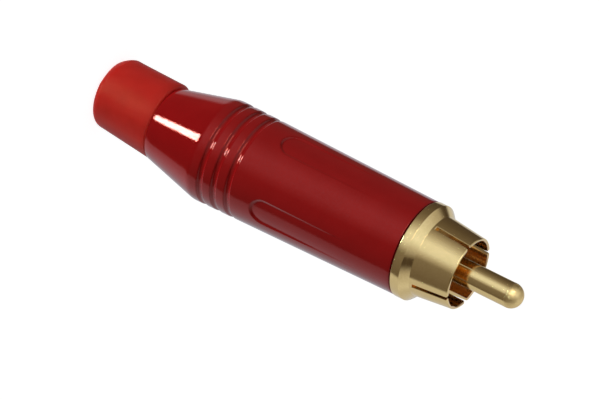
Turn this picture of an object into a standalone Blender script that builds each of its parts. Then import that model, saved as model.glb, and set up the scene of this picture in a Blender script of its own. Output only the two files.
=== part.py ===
"""Phono (RCA) cable plug with a lacquered metal shell, a soft boot and a gold-plated insert.

The plug stands on the rear face of its boot, and its axis is +Z, towards the pin.
Metres throughout. Heights are measured from the rear face of the boot.
The viewer of the reference picture looks from -Y, a little above the horizontal.
"""

import math

import bmesh
import bpy
from mathutils import Matrix, Vector

# Clearances

PRESS_GAP = 0.00008          # between pieces that are pressed or seated together
SLIDE_GAP = 0.00012          # radial, between the shell's bore and what slides in it
THREAD_GAP = 0.00010         # radial, between the two threads' plain envelopes
MOUTH_GAP = 0.00015          # radial, between the boot's neck and the shell's mouth
BOOT_GAP = 0.00010           # axial, between the boot's shoulder and the shell
FLANGE_GAP = 0.00020         # axial, between the shell's front edge and the flange

# Signal pin

PIN_RADIUS = 0.00160
PIN_REACH = 0.00762          # how far the tip stands out of the ground sleeve
PIN_COLLAR_HEIGHT = 0.00065  # radial
PIN_COLLAR_LENGTH = 0.00066
PIN_TAIL_LENGTH = 0.01200    # from the collar's rear face to the end of the cup
SOLDER_CUP_WALL = 0.00050
SOLDER_CUP_DEPTH = 0.00420
SOLDER_CUP_OPEN = 0.00320    # length of the side that is milled away

# Insulators

FRONT_INSULATOR_WALL = 0.00110
REAR_INSULATOR_WALL = 0.00150
FRONT_INSULATOR_LIP = 0.00080
REAR_INSULATOR_LIP = 0.00079
COLLAR_ROOM = 0.00008        # axial, on each side of the pin's collar
WASHER_THICKNESS = 0.00042
WASHER_WIDTH = 0.00130       # radial

# Ground body

CONTACT_RADIUS = 0.00428     # inside of the slotted sleeve
SLEEVE_RIM_WALL = 0.00038
SLEEVE_ROOT_WALL = 0.00094
SLEEVE_LENGTH = 0.00510
RIM_CHAMFER = 0.00010
CHAMBER_DEPTH = 0.00640      # from the sleeve's rim down to its floor
SLOT_WIDTH = 0.00052
SLOT_LENGTH = 0.00478
SLOT_TURN = math.radians(8)  # turn of the slots against the shell's flutes
FLANGE_PROUD = 0.00006       # how far the flange stands out over the shell's front edge
FLANGE_THICKNESS = 0.00115
FLANGE_CHAMFER = 0.00016
FLANGE_CONE_LENGTH = 0.00095
FRONT_BORE_DEPTH = 0.00370   # from the chamber's floor to the step in the bore
SHANK_WALL = 0.00184
SHANK_LENGTH = 0.00670
SHANK_CHAMFER = 0.00035
RELIEF_LENGTH = 0.00080
RELIEF_DEPTH = 0.00035

# Ground lug

LUG_THICKNESS = 0.00035
LUG_RADIUS = 0.00375         # inside of the rolled strip
LUG_ARM_WIDTH = 0.00320
LUG_SETBACK = 0.00249         # from the chuck's front end to the trough's rear end
LUG_TROUGH_LENGTH = 0.00650

# Shell

SHELL_LENGTH = 0.03690
SHELL_FRONT_WALL = 0.00098
SHELL_REAR_WALL = 0.00095
BARREL_TAPER = 0.00054       # how much smaller the barrel is at its front edge
SHOULDER_AT = 0.00780        # from the shell's rear edge
SHOULDER_ROUND = 0.00045
SHELL_EDGE_BREAK = 0.00012
SHELL_LIP_LENGTH = 0.00150   # the inner lip that holds the boot's collar
SEAT_LENGTH = 0.00550        # the inner cone that closes the chuck
BORE_STEP = 0.00015          # how much smaller the bore is than the thread
THREAD_DEPTH = 0.00720
THREAD_LEAD_IN = 0.00025
GROOVE_COUNT = 3
GROOVE_PITCH = 0.00200
GROOVE_WIDTH = 0.00136
GROOVE_DEPTH = 0.00042
FIRST_GROOVE_AT = 0.00946    # from the shell's rear edge
FLUTE_COUNT = 4
FLUTE_AT = 0.01680           # from the shell's rear edge to the flute's round end
FLUTE_WIDTH = 0.00385        # where the flute meets the barrel at its round end
FLUTE_DEPTH = 0.00026        # at its round end; it runs out as the barrel tapers
FLUTE_DRAFT = math.radians(45)

# Boot

CABLE_HOLE_RADIUS = 0.00320
BOOT_LENGTH = 0.00870
BOOT_WALL = 0.00150          # at the rear end
BOOT_OVERHANG = 0.00020      # of the boot's shoulder over the shell's rear edge
BOOT_REAR_ROUND = 0.00095
BOOT_FRONT_ROUND = 0.00025
BOOT_SIDE_SET = 0.00055      # the soft boot's rear end sits off the axis
NECK_WALL = 0.00050
COLLAR_GRIP = 0.00050        # how far the boot's collar reaches behind the shell's lip
COLLAR_LENGTH = 0.00120

# Cable chuck and insulating sleeve

CHUCK_LENGTH = 0.01000
CHUCK_SETBACK = 0.00060      # from the start of the shell's inner cone to the jaws' tips
CHUCK_RING_LENGTH = 0.00400
CHUCK_SLOT_WIDTH = 0.00090
CHUCK_SLOT_CUTS = 3          # cuts right across, so twice as many jaws
JAW_TOOTH_HEIGHT = 0.00025
JAW_TOOTH_PITCH = 0.00120
JAW_TEETH = 3
JAW_TOOTH_AT = 0.00070       # from the jaws' tips to the first tooth
INNER_SLEEVE_WALL = 0.00060
PIECE_BREAK = 0.00015        # small chamfers on the moulded pieces

# Roundness

SHELL_STEPS = 48
INSERT_STEPS = 40
SMALL_STEPS = 32
PIN_STEPS = 24
TIP_STEPS = 6
GROOVE_STEPS = 6
ROUND_STEPS = 3
FLUTE_STEPS = 10

# Radii that follow

pin_hole_radius = PIN_RADIUS + PRESS_GAP
front_insulator_radius = pin_hole_radius + FRONT_INSULATOR_WALL
front_bore_radius = front_insulator_radius + PRESS_GAP
rear_insulator_radius = pin_hole_radius + REAR_INSULATOR_WALL
rear_bore_radius = rear_insulator_radius + PRESS_GAP
shank_radius = rear_bore_radius + SHANK_WALL
thread_bore_radius = shank_radius + THREAD_GAP
shell_front_radius = thread_bore_radius + SHELL_FRONT_WALL
shell_shoulder_radius = shell_front_radius + BARREL_TAPER
shell_bore_radius = thread_bore_radius - BORE_STEP
flange_radius = shell_front_radius + FLANGE_PROUD
sleeve_rim_radius = CONTACT_RADIUS + SLEEVE_RIM_WALL
sleeve_root_radius = CONTACT_RADIUS + SLEEVE_ROOT_WALL
boot_neck_radius = CABLE_HOLE_RADIUS + NECK_WALL
shell_mouth_radius = boot_neck_radius + MOUTH_GAP
boot_collar_radius = boot_neck_radius + COLLAR_GRIP
shell_pocket_radius = boot_collar_radius + MOUTH_GAP
shell_rear_radius = shell_mouth_radius + SHELL_REAR_WALL
boot_front_radius = shell_rear_radius + BOOT_OVERHANG
boot_rear_radius = CABLE_HOLE_RADIUS + BOOT_WALL
inner_sleeve_radius = shell_bore_radius - SLIDE_GAP
chuck_radius = shell_bore_radius - SLIDE_GAP
chuck_hole_radius = CABLE_HOLE_RADIUS + JAW_TOOTH_HEIGHT

# Heights that follow

shell_rear_z = BOOT_LENGTH + BOOT_GAP
shell_front_z = shell_rear_z + SHELL_LENGTH
shoulder_z = shell_rear_z + SHOULDER_AT
lip_z = shell_rear_z + SHELL_LIP_LENGTH
collar_front_z = lip_z + PRESS_GAP + COLLAR_LENGTH
seat_z = collar_front_z + 2 * MOUTH_GAP
seat_top_z = seat_z + SEAT_LENGTH
thread_rear_z = shell_front_z - THREAD_DEPTH
flange_z = shell_front_z + FLANGE_GAP
flange_top_z = flange_z + FLANGE_THICKNESS
sleeve_z = flange_top_z + FLANGE_CONE_LENGTH
rim_z = sleeve_z + SLEEVE_LENGTH
chamber_z = rim_z - CHAMBER_DEPTH
step_z = chamber_z - FRONT_BORE_DEPTH
shank_rear_z = flange_z - SHANK_LENGTH
relief_z = flange_z - RELIEF_LENGTH
collar_z = step_z + COLLAR_ROOM
tip_z = rim_z + PIN_REACH
pin_rear_z = collar_z - PIN_TAIL_LENGTH
lug_front_z = shank_rear_z - PRESS_GAP
lug_ring_z = lug_front_z - LUG_THICKNESS
rear_lip_top_z = lug_ring_z - PRESS_GAP
rear_lip_z = rear_lip_top_z - REAR_INSULATOR_LIP
washer_top_z = rear_lip_z - PRESS_GAP
washer_z = washer_top_z - WASHER_THICKNESS
chuck_z = seat_z + CHUCK_SETBACK
chuck_front_z = chuck_z + CHUCK_LENGTH
trough_rear_z = chuck_front_z + LUG_SETBACK
arm_rear_z = trough_rear_z + LUG_TROUGH_LENGTH
inner_sleeve_z = chuck_front_z + PRESS_GAP
inner_sleeve_front_z = shank_rear_z - PRESS_GAP


# Helpers

def clear_scene():
    """Remove every object that the scene holds."""
    for existing in list(bpy.data.objects):
        bpy.data.objects.remove(existing, do_unlink=True)


def surface(name, colour, roughness, metallic):
    """A material with the piece's own colour and finish."""
    material = bpy.data.materials.new(name)
    material.use_nodes = True
    shader = material.node_tree.nodes["Principled BSDF"]
    shader.inputs["Base Color"].default_value = (*colour, 1.0)
    shader.inputs["Roughness"].default_value = roughness
    shader.inputs["Metallic"].default_value = metallic
    material.diffuse_color = (*colour, 1.0)
    return material


def add_object(name, shape, material, parent=None):
    """Turn a finished bmesh into a named object, shaded smooth between its sharp edges."""
    bmesh.ops.recalc_face_normals(shape, faces=shape.faces)
    mesh = bpy.data.meshes.new(name)
    shape.to_mesh(mesh)
    shape.free()
    mesh.shade_smooth()
    mesh.set_sharp_from_angle(angle=math.radians(28))
    piece = bpy.data.objects.new(name, mesh)
    bpy.context.scene.collection.objects.link(piece)
    if material is not None:
        mesh.materials.append(material)
    if parent is not None:
        piece.parent = parent
    return piece


def spun(outline, steps, closed=True):
    """Spin an outline of (radius, height) points once round the Z axis.

    A closed outline gives a ring; an open one starts and ends on the axis.
    """
    shape = bmesh.new()
    points = [shape.verts.new((radius, 0.0, height)) for radius, height in outline]
    edges = [shape.edges.new(pair) for pair in zip(points, points[1:])]
    if closed:
        edges.append(shape.edges.new((points[-1], points[0])))
    bmesh.ops.spin(
        shape,
        geom=points + edges,
        cent=(0.0, 0.0, 0.0),
        axis=(0.0, 0.0, 1.0),
        angle=math.tau,
        steps=steps,
    )
    bmesh.ops.remove_doubles(shape, verts=shape.verts, dist=1e-7)
    return shape


def arc(centre, radius, start, end, steps):
    """Points along an arc in the outline's plane, from one angle to the other."""
    points = []
    for index in range(steps + 1):
        angle = start + (end - start) * index / steps
        across = centre[0] + radius * math.cos(angle)
        along = centre[1] + radius * math.sin(angle)
        points.append((across, along))
    return points


def block(low, high):
    """A box between two corners."""
    shape = bmesh.new()
    bmesh.ops.create_cube(shape, size=1.0)
    size = Vector(high) - Vector(low)
    middle = (Vector(high) + Vector(low)) / 2
    bmesh.ops.scale(shape, vec=size, verts=shape.verts)
    bmesh.ops.translate(shape, vec=middle, verts=shape.verts)
    return shape


def turn(shape, angle):
    """Turn a shape about the plug's axis."""
    bmesh.ops.rotate(
        shape,
        cent=(0.0, 0.0, 0.0),
        matrix=Matrix.Rotation(angle, 3, "Z"),
        verts=shape.verts,
    )
    return shape


def cut(piece, name, shape):
    """Take a shape away from a piece."""
    cutter = add_object(name, shape, None)
    cutter.hide_render = True
    cutter.display_type = "WIRE"
    modifier = piece.modifiers.new(name, "BOOLEAN")
    modifier.operation = "DIFFERENCE"
    modifier.solver = "EXACT"
    modifier.object = cutter
    return cutter


def joint_empty(name, parent=None):
    """An empty on the plug's axis that carries the pieces that move together."""
    empty = bpy.data.objects.new(name, None)
    empty.empty_display_size = 0.005
    bpy.context.scene.collection.objects.link(empty)
    empty.parent = parent
    return empty


# Outlines of the shell

def barrel_radius(height):
    """Outer radius of the tapering barrel, before grooves and flutes."""
    share = (height - shoulder_z) / (shell_front_z - shoulder_z)
    return shell_shoulder_radius - BARREL_TAPER * share


def seat_radius(height):
    """Radius of the shell's inner cone, which closes the jaws of the chuck."""
    share = (height - seat_z) / SEAT_LENGTH
    share = min(max(share, 0.0), 1.0)
    return shell_pocket_radius + (shell_bore_radius - shell_pocket_radius) * share


def shoulder_points():
    """The rounded corner between the rear cone and the barrel."""
    corner = Vector((shell_shoulder_radius, shoulder_z))
    rear = Vector((shell_rear_radius, shell_rear_z))
    front = Vector((shell_front_radius, shell_front_z))
    start = corner + (rear - corner).normalized() * SHOULDER_ROUND
    end = corner + (front - corner).normalized() * SHOULDER_ROUND
    points = []
    for index in range(ROUND_STEPS + 1):
        share = index / ROUND_STEPS
        point = start.lerp(corner, share).lerp(corner.lerp(end, share), share)
        points.append((point.x, point.y))
    return points


def groove_points(middle):
    """A round-bottomed groove in the barrel, from its rear lip to its front lip."""
    points = []
    for index in range(GROOVE_STEPS + 1):
        angle = math.pi * index / GROOVE_STEPS
        height = middle - GROOVE_WIDTH / 2 * math.cos(angle)
        points.append((barrel_radius(height) - GROOVE_DEPTH * math.sin(angle), height))
    return points


def shell_outline():
    """The shell's section, up its outside and back down its inside."""
    outline = [
        (shell_mouth_radius, shell_rear_z),
        (shell_rear_radius - SHELL_EDGE_BREAK, shell_rear_z),
        (shell_rear_radius, shell_rear_z + SHELL_EDGE_BREAK),
    ]
    outline += shoulder_points()
    for index in range(GROOVE_COUNT):
        outline += groove_points(shell_rear_z + FIRST_GROOVE_AT + index * GROOVE_PITCH)
    front_break_z = shell_front_z - SHELL_EDGE_BREAK
    outline += [
        (barrel_radius(front_break_z), front_break_z),
        (shell_front_radius - SHELL_EDGE_BREAK, shell_front_z),
        (thread_bore_radius + THREAD_LEAD_IN, shell_front_z),
        (thread_bore_radius, shell_front_z - THREAD_LEAD_IN),
        (thread_bore_radius, thread_rear_z),
        (shell_bore_radius, thread_rear_z - BORE_STEP),
        (shell_bore_radius, seat_top_z),
        (shell_pocket_radius, seat_z),
        (shell_pocket_radius, lip_z),
        (shell_mouth_radius, lip_z),
    ]
    return outline


def flute_cutter(angle):
    """A long shallow cutter with a round rear end and a floor concentric with the plug.

    The floor keeps one radius, so the flute runs out where the barrel has tapered to it.
    """
    start_z = shell_rear_z + FLUTE_AT
    floor_radius = barrel_radius(start_z) - FLUTE_DEPTH
    outside_radius = shell_shoulder_radius + FLUTE_DEPTH * 3
    floor_half = FLUTE_WIDTH / 2 - FLUTE_DEPTH * math.tan(FLUTE_DRAFT)
    outside_half = floor_half + (outside_radius - floor_radius) * math.tan(FLUTE_DRAFT)
    middle_z = start_z + FLUTE_WIDTH / 2
    end_z = shell_front_z + FLUTE_WIDTH
    shape = bmesh.new()
    layers = []
    for radius, half in ((floor_radius, floor_half), (outside_radius, outside_half)):
        rear, front = [], []
        for index in range(FLUTE_STEPS + 1):
            sweep = -math.pi / 2 + math.pi * index / FLUTE_STEPS
            around = half * math.sin(sweep) / radius
            place = (radius * math.cos(around), radius * math.sin(around))
            rear.append(shape.verts.new((*place, middle_z - half * math.cos(sweep))))
            front.append(shape.verts.new((*place, end_z)))
        layers.append((rear, front))
    (floor_rear, floor_front), (out_rear, out_front) = layers
    for index in range(FLUTE_STEPS):
        after = index + 1
        shape.faces.new((floor_rear[index], floor_rear[after], floor_front[after], floor_front[index]))
        shape.faces.new((out_rear[index], out_front[index], out_front[after], out_rear[after]))
        shape.faces.new((floor_rear[index], out_rear[index], out_rear[after], floor_rear[after]))
        shape.faces.new((floor_front[index], floor_front[after], out_front[after], out_front[index]))
    for side in (0, FLUTE_STEPS):
        shape.faces.new((floor_rear[side], floor_front[side], out_front[side], out_rear[side]))
    return turn(shape, angle)


# The pieces

def make_shell(material):
    """Die-cast shell: rear cone, shoulder, grooves and a tapering fluted barrel."""
    shell = add_object("shell", spun(shell_outline(), SHELL_STEPS), material)
    for index in range(FLUTE_COUNT):
        angle = math.tau * (index + 0.5) / FLUTE_COUNT
        cut(shell, f"flute_cutter_{index + 1}", flute_cutter(angle))
    return shell


def make_boot(material, parent):
    """Soft boot: tapering outside, a neck through the shell's mouth and a collar behind its lip."""
    rear_centre = (boot_rear_radius - BOOT_REAR_ROUND, BOOT_REAR_ROUND)
    front_centre = (boot_front_radius - BOOT_FRONT_ROUND, BOOT_LENGTH - BOOT_FRONT_ROUND)
    collar_z_low = lip_z + PRESS_GAP
    outline = [(CABLE_HOLE_RADIUS, 0.0)]
    outline += arc(rear_centre, BOOT_REAR_ROUND, -math.pi / 2, 0.0, ROUND_STEPS + 1)
    outline += arc(front_centre, BOOT_FRONT_ROUND, 0.0, math.pi / 2, ROUND_STEPS)
    outline += [
        (boot_neck_radius, BOOT_LENGTH),
        (boot_neck_radius, collar_z_low),
        (boot_collar_radius, collar_z_low),
        (boot_collar_radius, collar_front_z - PIECE_BREAK),
        (boot_collar_radius - PIECE_BREAK, collar_front_z),
        (CABLE_HOLE_RADIUS, collar_front_z),
        (CABLE_HOLE_RADIUS, BOOT_LENGTH),
    ]
    shape = spun(outline, SHELL_STEPS)
    for vertex in shape.verts:
        behind = max(0.0, BOOT_LENGTH - vertex.co.z) / BOOT_LENGTH
        vertex.co.x -= BOOT_SIDE_SET * behind
    return add_object("rear_boot", shape, material, parent)


def make_chuck(material, parent):
    """Moulded collet: a ring with toothed jaws that the shell's inner cone closes on the cable."""
    outline = [(seat_radius(chuck_z) - SLIDE_GAP, chuck_z)]
    outline += [
        (chuck_radius, max(seat_top_z, chuck_z)),
        (chuck_radius, chuck_front_z - PIECE_BREAK),
        (chuck_radius - PIECE_BREAK, chuck_front_z),
        (chuck_hole_radius, chuck_front_z),
    ]
    first_tooth_z = chuck_z + JAW_TOOTH_AT
    for index in reversed(range(JAW_TEETH)):
        tooth_z = first_tooth_z + index * JAW_TOOTH_PITCH
        outline += [
            (chuck_hole_radius, tooth_z + JAW_TOOTH_HEIGHT),
            (chuck_hole_radius - JAW_TOOTH_HEIGHT, tooth_z),
            (chuck_hole_radius, tooth_z - JAW_TOOTH_HEIGHT),
        ]
    outline.append((chuck_hole_radius, chuck_z))
    chuck = add_object("cable_chuck", spun(outline, INSERT_STEPS), material, parent)
    reach = chuck_radius * 2
    slot_top_z = chuck_front_z - CHUCK_RING_LENGTH
    for index in range(CHUCK_SLOT_CUTS):
        low = (-reach, -CHUCK_SLOT_WIDTH / 2, chuck_z - CHUCK_LENGTH / 2)
        high = (reach, CHUCK_SLOT_WIDTH / 2, slot_top_z)
        slot = turn(block(low, high), math.pi * (index + 0.3) / CHUCK_SLOT_CUTS)
        cut(chuck, f"chuck_slot_{index + 1}", slot)
    return chuck


def make_inner_sleeve(material, parent):
    """Insulating tube between the solder joints and the shell."""
    inside = inner_sleeve_radius - INNER_SLEEVE_WALL
    outline = [
        (inside, inner_sleeve_z),
        (inner_sleeve_radius - PIECE_BREAK, inner_sleeve_z),
        (inner_sleeve_radius, inner_sleeve_z + PIECE_BREAK),
        (inner_sleeve_radius, inner_sleeve_front_z - PIECE_BREAK),
        (inner_sleeve_radius - PIECE_BREAK, inner_sleeve_front_z),
        (inside, inner_sleeve_front_z),
    ]
    return add_object("insulating_sleeve", spun(outline, SMALL_STEPS), material, parent)


def make_ground_body(material, parent):
    """Turned ground body: threaded shank, flange, cone and the slotted, tapering sleeve."""
    outline = [
        (rear_bore_radius, shank_rear_z),
        (shank_radius - SHANK_CHAMFER, shank_rear_z),
        (shank_radius, shank_rear_z + SHANK_CHAMFER),
        (shank_radius, relief_z - RELIEF_DEPTH),
        (shank_radius - RELIEF_DEPTH, relief_z),
        (shank_radius - RELIEF_DEPTH, flange_z),
        (flange_radius - FLANGE_CHAMFER, flange_z),
        (flange_radius, flange_z + FLANGE_CHAMFER),
        (flange_radius, flange_top_z),
        (sleeve_root_radius, sleeve_z),
        (sleeve_rim_radius, rim_z - RIM_CHAMFER),
        (sleeve_rim_radius - RIM_CHAMFER, rim_z),
        (CONTACT_RADIUS + RIM_CHAMFER, rim_z),
        (CONTACT_RADIUS, rim_z - RIM_CHAMFER),
        (CONTACT_RADIUS, chamber_z),
        (front_bore_radius, chamber_z),
        (front_bore_radius, step_z),
        (rear_bore_radius, step_z),
    ]
    body = add_object("ground_body", spun(outline, SHELL_STEPS), material, parent)
    reach = sleeve_root_radius * 1.5
    for index in range(2):
        low = (-reach, -SLOT_WIDTH / 2, rim_z - SLOT_LENGTH)
        high = (reach, SLOT_WIDTH / 2, rim_z + SLOT_LENGTH / 2)
        angle = math.pi / 4 + SLOT_TURN + index * math.pi / 2
        cut(body, f"sleeve_slot_{index + 1}", turn(block(low, high), angle))
    return body


def make_pin(material, parent):
    """Turned pin: hemispherical tip, retaining collar and a solder cup with an open side."""
    collar_radius = PIN_RADIUS + PIN_COLLAR_HEIGHT
    collar_top_z = collar_z + PIN_COLLAR_LENGTH
    cup_radius = PIN_RADIUS - SOLDER_CUP_WALL
    outline = [
        (0.0, pin_rear_z + SOLDER_CUP_DEPTH),
        (cup_radius, pin_rear_z + SOLDER_CUP_DEPTH),
        (cup_radius, pin_rear_z),
        (PIN_RADIUS, pin_rear_z),
        (PIN_RADIUS, collar_z),
        (collar_radius, collar_z),
        (collar_radius, collar_top_z),
        (PIN_RADIUS, collar_top_z),
    ]
    outline += arc((0.0, tip_z - PIN_RADIUS), PIN_RADIUS, 0.0, math.pi / 2, TIP_STEPS)
    outline[-1] = (0.0, tip_z)
    pin = add_object("centre_pin", spun(outline, PIN_STEPS, closed=False), material, parent)
    low = (0.0, -PIN_RADIUS * 2, pin_rear_z - SOLDER_CUP_DEPTH)
    high = (PIN_RADIUS * 2, PIN_RADIUS * 2, pin_rear_z + SOLDER_CUP_OPEN)
    cut(pin, "solder_cup_side", turn(block(low, high), math.pi * 0.02))
    return pin


def make_front_insulator(material, parent):
    """Front insulator: a lip on the floor of the sleeve, and a recess for the pin's collar."""
    lip_low_z = chamber_z + PRESS_GAP
    lip_top_z = lip_low_z + FRONT_INSULATOR_LIP
    lip_radius = CONTACT_RADIUS - SLIDE_GAP
    recess_radius = PIN_RADIUS + PIN_COLLAR_HEIGHT + PRESS_GAP
    recess_top_z = collar_z + PIN_COLLAR_LENGTH + COLLAR_ROOM
    outline = [
        (recess_radius, step_z),
        (front_insulator_radius, step_z),
        (front_insulator_radius, lip_low_z),
        (lip_radius, lip_low_z),
        (lip_radius, lip_top_z - PIECE_BREAK),
        (lip_radius - PIECE_BREAK, lip_top_z),
        (pin_hole_radius, lip_top_z),
        (pin_hole_radius, recess_top_z),
        (recess_radius, recess_top_z),
    ]
    return add_object("front_insulator", spun(outline, SMALL_STEPS), material, parent)


def make_rear_insulator(material, parent):
    """Rear insulator: it holds the pin's collar from behind and clamps the ground lug."""
    lip_radius = LUG_RADIUS - SLIDE_GAP
    outline = [
        (pin_hole_radius, rear_lip_z),
        (lip_radius - PIECE_BREAK, rear_lip_z),
        (lip_radius, rear_lip_z + PIECE_BREAK),
        (lip_radius, rear_lip_top_z),
        (rear_insulator_radius, rear_lip_top_z),
        (rear_insulator_radius, step_z - PRESS_GAP),
        (pin_hole_radius, step_z - PRESS_GAP),
    ]
    return add_object("rear_insulator", spun(outline, SMALL_STEPS), material, parent)


def make_washer(material, parent):
    """Push-on washer that grips the pin behind the rear insulator."""
    outline = [
        (pin_hole_radius, washer_z),
        (pin_hole_radius + WASHER_WIDTH, washer_z),
        (pin_hole_radius + WASHER_WIDTH, washer_top_z),
        (pin_hole_radius, washer_top_z),
    ]
    return add_object("pin_washer", spun(outline, PIN_STEPS), material, parent)


def make_lug(material, parent):
    """Ground lug: a ring under the shank, an arm past the insulator and a solder trough."""
    outside = LUG_RADIUS + LUG_THICKNESS
    ring_hole = rear_insulator_radius + PRESS_GAP
    outline = [
        (LUG_RADIUS, trough_rear_z),
        (outside, trough_rear_z),
        (outside, lug_front_z),
        (ring_hole, lug_front_z),
        (ring_hole, lug_ring_z),
        (LUG_RADIUS, lug_ring_z),
    ]
    lug = add_object("ground_lug", spun(outline, SMALL_STEPS), material, parent)
    reach = outside * 2
    below_z = trough_rear_z - LUG_TROUGH_LENGTH
    half = LUG_ARM_WIDTH / 2
    cut(lug, "lug_trough_side", block((0.0, -reach, below_z), (reach, reach, lug_ring_z)))
    cut(lug, "lug_arm_left", block((-reach, half, arm_rear_z), (reach, reach, lug_ring_z)))
    cut(lug, "lug_arm_right", block((-reach, -reach, arm_rear_z), (reach, -half, lug_ring_z)))
    return lug


# The plug

def main():
    clear_scene()
    red_lacquer = surface("red lacquer on zinc", (0.205, 0.006, 0.007), 0.16, 0.35)
    red_rubber = surface("soft red moulding", (0.42, 0.022, 0.014), 0.62, 0.0)
    gold_plate = surface("satin gold plate", (0.72, 0.52, 0.24), 0.24, 1.0)
    black_plastic = surface("black nylon", (0.018, 0.018, 0.019), 0.45, 0.0)
    white_plastic = surface("natural acetal", (0.72, 0.71, 0.66), 0.38, 0.0)
    grey_plastic = surface("clear grey film", (0.30, 0.31, 0.32), 0.30, 0.0)
    steel = surface("plated spring steel", (0.56, 0.56, 0.55), 0.28, 1.0)

    lift = joint_empty("chuck_lift_axis")
    travel = joint_empty("thread_travel_axis", lift)
    screw = joint_empty("insert_unscrew_axis", travel)

    shell = make_shell(red_lacquer)
    make_boot(red_rubber, shell)
    make_chuck(black_plastic, lift)
    make_inner_sleeve(grey_plastic, travel)
    make_ground_body(gold_plate, screw)
    make_pin(gold_plate, screw)
    make_front_insulator(white_plastic, screw)
    make_rear_insulator(white_plastic, screw)
    make_washer(steel, screw)
    make_lug(gold_plate, screw)


main()
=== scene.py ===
# %% [markdown]
# # A phono plug with a red lacquered shell
#
# The plug stands on the rear face of its soft boot, with the pin pointing up along Z.
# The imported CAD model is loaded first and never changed. It fixes every size, and says which
# pieces turn and slide together. Finer pieces are then built over it, in the same place.

# %% Load the fixed frame
import math

import bmesh
import bpy
from mathutils import Matrix, Vector


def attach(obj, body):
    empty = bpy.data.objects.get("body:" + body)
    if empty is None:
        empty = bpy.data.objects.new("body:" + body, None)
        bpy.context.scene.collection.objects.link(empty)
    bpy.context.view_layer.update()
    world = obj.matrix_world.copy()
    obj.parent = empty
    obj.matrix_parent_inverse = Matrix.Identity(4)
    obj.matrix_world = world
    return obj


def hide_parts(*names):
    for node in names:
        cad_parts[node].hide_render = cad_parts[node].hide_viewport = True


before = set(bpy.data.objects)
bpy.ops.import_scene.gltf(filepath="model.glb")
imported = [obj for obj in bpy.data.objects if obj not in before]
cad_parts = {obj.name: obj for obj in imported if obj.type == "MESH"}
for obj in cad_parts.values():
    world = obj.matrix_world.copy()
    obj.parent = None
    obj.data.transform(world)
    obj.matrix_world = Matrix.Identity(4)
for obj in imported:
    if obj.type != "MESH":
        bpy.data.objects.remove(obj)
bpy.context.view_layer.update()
MM = 0.001
PER_METRE = 1000.0


def add_object(name, data):
    """An object for a mesh, a camera or a lamp, placed in the scene."""
    made = bpy.data.objects.new(name, data)
    bpy.context.scene.collection.objects.link(made)
    return made


# %% [markdown]
# ## The camera
#
# A camera helper would fit the whole plug in the frame, but here the view has to match a
# photograph. So it is placed by three facts: how far away it stands, how steeply it looks down on
# the plug, and how far the plug's axis leans in the picture. A known point on the axis, inside the
# sleeve, is then held on its own pixel by moving the camera sideways.

# %% Camera
CAMERA_DISTANCE = 0.600
LOOK_DOWN = math.radians(23.1775)
AXIS_LEAN = math.radians(26.434)
FOCAL_PIXELS = 5020.24
PICTURE_WIDTH = 600
SENSOR_WIDTH = 36.0
KNOWN_POINT = Vector((0.0, 0.0, 52.5 * MM))
KNOWN_PIXEL = Vector((464.49, 272.05))
PICTURE_MIDDLE = Vector((300.0, 200.0))


def place_camera():
    """A long lens, level with nothing: it is rolled so that the plug runs down to the right."""
    towards_camera = Vector((0.0, -math.cos(LOOK_DOWN), math.sin(LOOK_DOWN)))
    along_plug = Vector((0.0, math.sin(LOOK_DOWN), math.cos(LOOK_DOWN)))
    across_plug = Vector((1.0, 0.0, 0.0))
    right = along_plug * math.cos(AXIS_LEAN) - across_plug * math.sin(AXIS_LEAN)
    up = -along_plug * math.sin(AXIS_LEAN) - across_plug * math.cos(AXIS_LEAN)
    offset = (KNOWN_PIXEL - PICTURE_MIDDLE) * (CAMERA_DISTANCE / FOCAL_PIXELS)
    place = KNOWN_POINT - right * offset.x + up * offset.y + towards_camera * CAMERA_DISTANCE
    data = bpy.data.cameras.new("picture_camera")
    data.sensor_width = SENSOR_WIDTH
    data.lens = FOCAL_PIXELS * SENSOR_WIDTH / PICTURE_WIDTH
    data.clip_start = 0.01
    data.clip_end = 50.0
    camera = add_object("picture_camera", data)
    turned = Matrix((right, up, towards_camera)).transposed().to_4x4()
    camera.matrix_world = Matrix.Translation(place) @ turned
    return camera


camera = place_camera()
bpy.context.scene.camera = camera
print("camera at", [round(c, 3) for c in camera.location], "lens", round(camera.data.lens, 1), "mm")

# %% [markdown]
# ## Small helpers for node trees
#
# Materials, the surroundings and Geometry Nodes are all trees of nodes joined by links. Writing
# each link out makes a script long, so a few helpers do it: they add a node and fill its sockets,
# do a step of arithmetic, or name what goes into a group and comes out of it.

# %% Helpers for single nodes
def add_node(tree, kind, label="", settings=None, **inputs):
    """Add a node. Inputs go by socket name, as a plain value or as another node's output."""
    made = tree.nodes.new(kind)
    made.label = label
    for name, value in (settings or {}).items():
        setattr(made, name, value)
    for name, value in inputs.items():
        fill(tree, made.inputs[name.replace("_", " ")], value)
    return made


def fill(tree, socket, value):
    """Link a socket to another node's output, or write a plain value on it."""
    if isinstance(value, bpy.types.NodeSocket):
        tree.links.new(value, socket)
    else:
        socket.default_value = value


def join(tree, kind, *values, **settings):
    """Add a node whose sockets are filled in their own order, and give back its result."""
    made = tree.nodes.new(kind)
    for name, value in settings.items():
        setattr(made, name, value)
    for socket, value in zip(made.inputs, values):
        fill(tree, socket, value)
    return made.outputs[0] if made.outputs else None


def calc(tree, operation, *terms, clamp=False):
    """One Math node: its terms are numbers or outputs of other nodes."""
    return join(tree, "ShaderNodeMath", *terms, operation=operation, use_clamp=clamp)


def times(tree, first, second):
    """The product of two numbers."""
    return calc(tree, "MULTIPLY", first, second)


def between(tree, mask, low, high):
    """A number that runs from low to high with a mask."""
    return calc(tree, "MULTIPLY_ADD", mask, high - low, low)


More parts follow.
